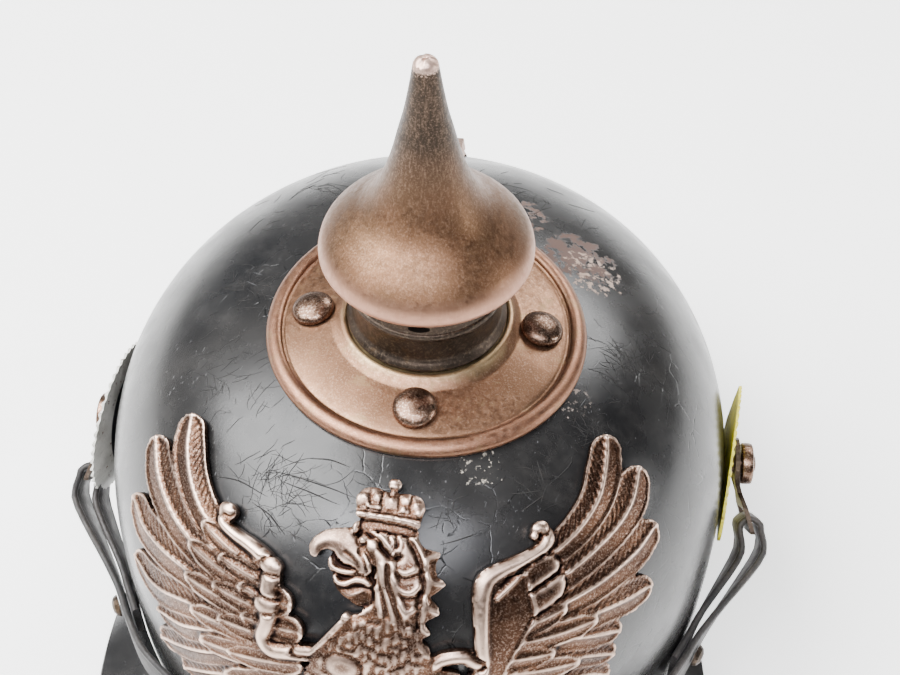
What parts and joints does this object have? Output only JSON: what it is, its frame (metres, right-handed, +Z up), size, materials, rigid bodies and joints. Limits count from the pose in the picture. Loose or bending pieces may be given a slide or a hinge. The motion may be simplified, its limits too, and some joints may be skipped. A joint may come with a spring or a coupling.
{
  "type": "pickelhaube",
  "caption": "Leather spiked parade helmet with a crowned griffin plate, round base plate, cockades, two visors, rear spine vent and a chin strap worn over the front visor.",
  "frame": {"origin": "centre of the helmet's outer box, on the surface that it stands on", "axes": "+Z up, -Y out of the front visor, +Y out of the rear visor, +X to the viewer's right when the front is seen"},
  "size_m": [0.2178, 0.3003, 0.2225],
  "materials": {
    "lacquered_leather": "glossy black lacquer with fine crackle",
    "strap_leather": "worn dark leather",
    "spike_steel": "aged brown steel with a coppery tint",
    "plate_steel": "aged steel with a coppery tan patina",
    "griffin_metal": "dark reddish brown metal with bright worn ridges",
    "dark_steel": "dark brown steel with worn tops",
    "yellow_paint": "worn yellow paint with rust flecks",
    "white_paint": "worn black, white and red paint"
  },
  "bodies": {
    "helmet": {"shell": "lacquered_leather", "front_visor": "lacquered_leather", "rear_visor": "lacquered_leather", "front_visor_trim": "dark_steel", "base_plate": "plate_steel", "spike_collar": "dark_steel", "rear_spine": "plate_steel", "vent_housing": "plate_steel", "spine_stud": "dark_steel", "cockade_left": "white_paint", "cockade_right": "yellow_paint", "side_post_left": "dark_steel", "side_post_right": "dark_steel", "strap_connector_left": "dark_steel", "strap_connector_right": "dark_steel", "chin_strap": "strap_leather", "strap_buckle_left": "dark_steel", "strap_buckle_right": "dark_steel", "strap_stud_left": "dark_steel", "strap_stud_right": "dark_steel", "helmet_plate": "griffin_metal", "base_rivet_1": "dark_steel", "base_rivet_2": "dark_steel", "base_rivet_3": "dark_steel", "base_rivet_4": "dark_steel"},
    "spike": {"spike": "spike_steel"},
    "vent_slider": {"vent_slider": "dark_steel"}
  },
  "joints": [
    {"name": "spike_turn", "type": "hinge", "parent": "helmet", "child": "spike", "pos_m": [0.0033, -0.0146, 0.1613], "axis": [0, 0, 1], "range_deg": [-40, 0]},
    {"name": "vent_slide", "type": "slide", "parent": "helmet", "child": "vent_slider", "axis": [0, 0.9064, -0.4223], "range_m": [-0.008, 0.008]}
  ]
}
